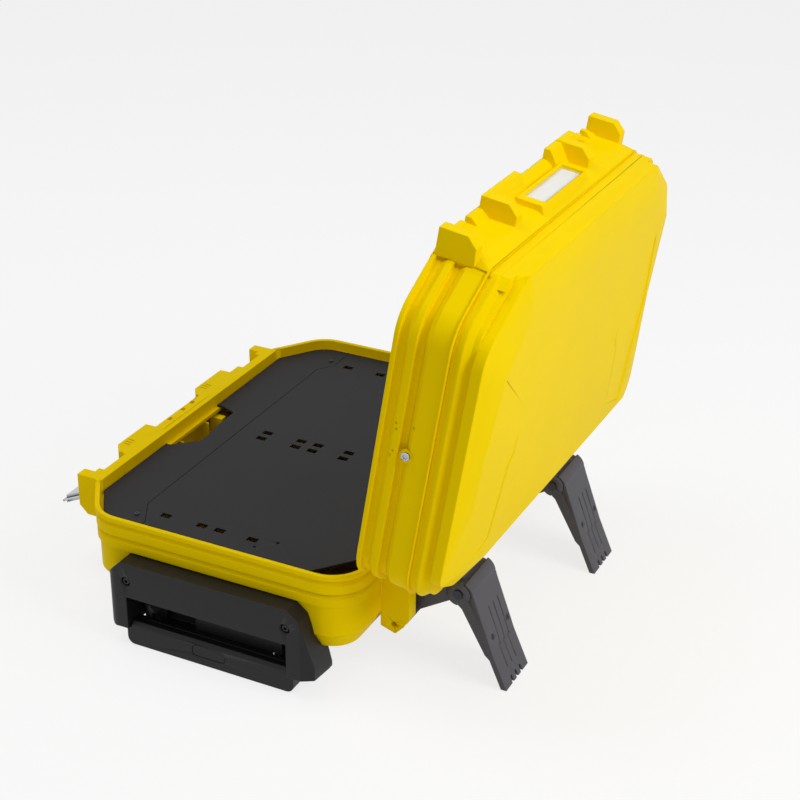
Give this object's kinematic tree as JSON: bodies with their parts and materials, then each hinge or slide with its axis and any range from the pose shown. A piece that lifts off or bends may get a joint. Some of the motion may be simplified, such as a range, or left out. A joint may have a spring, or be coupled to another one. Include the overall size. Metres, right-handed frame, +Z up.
{
  "type": "tool case",
  "caption": "Wheeled plastic tool case lying flat with its lid open, sliding pull handle, over-centre latches and folding legs that prop the lid.",
  "frame": {"origin": "middle of the part's bounding box on the floor", "axes": "+X along the case towards the pull handle, +Y from the latches towards the hinge and legs, +Z up"},
  "size_m": [0.6266, 0.6716, 0.6059],
  "materials": {
    "yellow_shell": "satin moulded, light grain",
    "black_plastic": "satin black moulding",
    "deck_plastic": "fine grained charcoal moulding",
    "leg_plastic": "fine grained dark grey moulding",
    "zinc_steel": "bright zinc plating",
    "dark_steel": "black oxide",
    "tube_aluminium": "satin drawn tube",
    "seal_rubber": "soft black",
    "tyre_rubber": "matt black",
    "card": "plain white card",
    "clear_plastic": "clear window"
  },
  "bodies": {
    "base": {"base_shell": "yellow_shell", "handle_housing": "black_plastic", "housing_screws": "dark_steel", "outer_tubes": "tube_aluminium", "axle_carrier": "black_plastic", "carrier_screws": "zinc_steel", "axle": "zinc_steel", "axle_caps": "black_plastic", "leg_pivot_pins": "dark_steel", "hinge_pins": "zinc_steel", "latch_plates": "zinc_steel", "latch_rivets": "zinc_steel", "deck_strip": "deck_plastic", "strip_screws": "dark_steel"},
    "deck": {"deck_panel": "deck_plastic"},
    "lid": {"lid_frame": "yellow_shell", "lid_cover": "yellow_shell", "lid_seal": "seal_rubber", "lid_end_screws": "zinc_steel", "cover_screws": "zinc_steel", "label_card": "card", "label_window": "clear_plastic"},
    "latch_1": {"latch_lever_1": "zinc_steel"},
    "bail_1": {"latch_bail_1": "zinc_steel"},
    "latch_2": {"latch_lever_2": "zinc_steel"},
    "bail_2": {"latch_bail_2": "zinc_steel"},
    "pull_handle": {"grip_front": "black_plastic", "grip_rear": "black_plastic", "grip_screws": "zinc_steel", "inner_tubes": "tube_aluminium"},
    "release": {"release_button": "black_plastic", "release_rods": "zinc_steel"},
    "wheel_1": {"wheel_hub_1": "black_plastic", "tyre_1": "tyre_rubber"},
    "wheel_2": {"wheel_hub_2": "black_plastic", "tyre_2": "tyre_rubber"},
    "arm_1": {"leg_arm_1": "leg_plastic"},
    "blade_1": {"leg_blade_1": "leg_plastic", "knuckle_pin_1": "dark_steel", "blade_screws_1": "dark_steel"},
    "arm_2": {"leg_arm_2": "leg_plastic"},
    "blade_2": {"leg_blade_2": "leg_plastic", "knuckle_pin_2": "dark_steel", "blade_screws_2": "dark_steel"}
  },
  "joints": [
    {"name": "lid_hinge", "type": "hinge", "parent": "base", "child": "lid", "pos_m": [-0.00875, 0.1604, 0.168], "axis": [1, 0, 0], "range_deg": [0, 99.15]},
    {"name": "deck_lift", "type": "slide", "parent": "base", "child": "deck", "axis": [0, 0, 1], "range_m": [0, 0.25]},
    {"name": "handle_slide", "type": "slide", "parent": "base", "child": "pull_handle", "axis": [1, 0, 0], "range_m": [0, 0.4]},
    {"name": "release_press", "type": "slide", "parent": "pull_handle", "child": "release", "axis": [-1, 0, 0], "range_m": [0, 0.004], "stiffness_N_per_m": 900, "springref_m": -0.003},
    {"name": "latch_1_swing", "type": "hinge", "parent": "base", "child": "latch_1", "pos_m": [0.16625, -0.2671, 0.13], "axis": [1, 0, 0], "range_deg": [0, 65]},
    {"name": "bail_1_swing", "type": "hinge", "parent": "latch_1", "child": "bail_1", "pos_m": [0.16625, -0.2807, 0.12366], "axis": [1, 0, 0], "range_deg": [-119, 0]},
    {"name": "wheel_1_spin", "type": "hinge", "parent": "base", "child": "wheel_1", "pos_m": [-0.26825, -0.2266, 0.045], "axis": [0, 1, 0], "continuous": true},
    {"name": "arm_1_fold", "type": "hinge", "parent": "base", "child": "arm_1", "pos_m": [0.15025, 0.1739, 0.0665], "axis": [1, 0, 0], "range_deg": [0, 44]},
    {"name": "blade_1_fold", "type": "hinge", "parent": "arm_1", "child": "blade_1", "pos_m": [0.15025, 0.2504, 0.121], "axis": [1, 0, 0], "range_deg": [-66, 0]},
    {"name": "latch_2_swing", "type": "hinge", "parent": "base", "child": "latch_2", "pos_m": [-0.18375, -0.2671, 0.13], "axis": [1, 0, 0], "range_deg": [0, 65]},
    {"name": "bail_2_swing", "type": "hinge", "parent": "latch_2", "child": "bail_2", "pos_m": [-0.18375, -0.2807, 0.12366], "axis": [1, 0, 0], "range_deg": [-119, 0]},
    {"name": "wheel_2_spin", "type": "hinge", "parent": "base", "child": "wheel_2", "pos_m": [-0.26825, 0.1354, 0.045], "axis": [0, 1, 0], "continuous": true},
    {"name": "arm_2_fold", "type": "hinge", "parent": "base", "child": "arm_2", "pos_m": [-0.15075, 0.1739, 0.0665], "axis": [1, 0, 0], "range_deg": [0, 44]},
    {"name": "blade_2_fold", "type": "hinge", "parent": "arm_2", "child": "blade_2", "pos_m": [-0.15075, 0.2504, 0.121], "axis": [1, 0, 0], "range_deg": [-66, 0]}
  ],
  "couplings": [
    {"joint": "arm_1_fold", "follows": "lid_hinge", "ratio": 0.44377},
    {"joint": "arm_2_fold", "follows": "lid_hinge", "ratio": 0.44377}
  ]
}
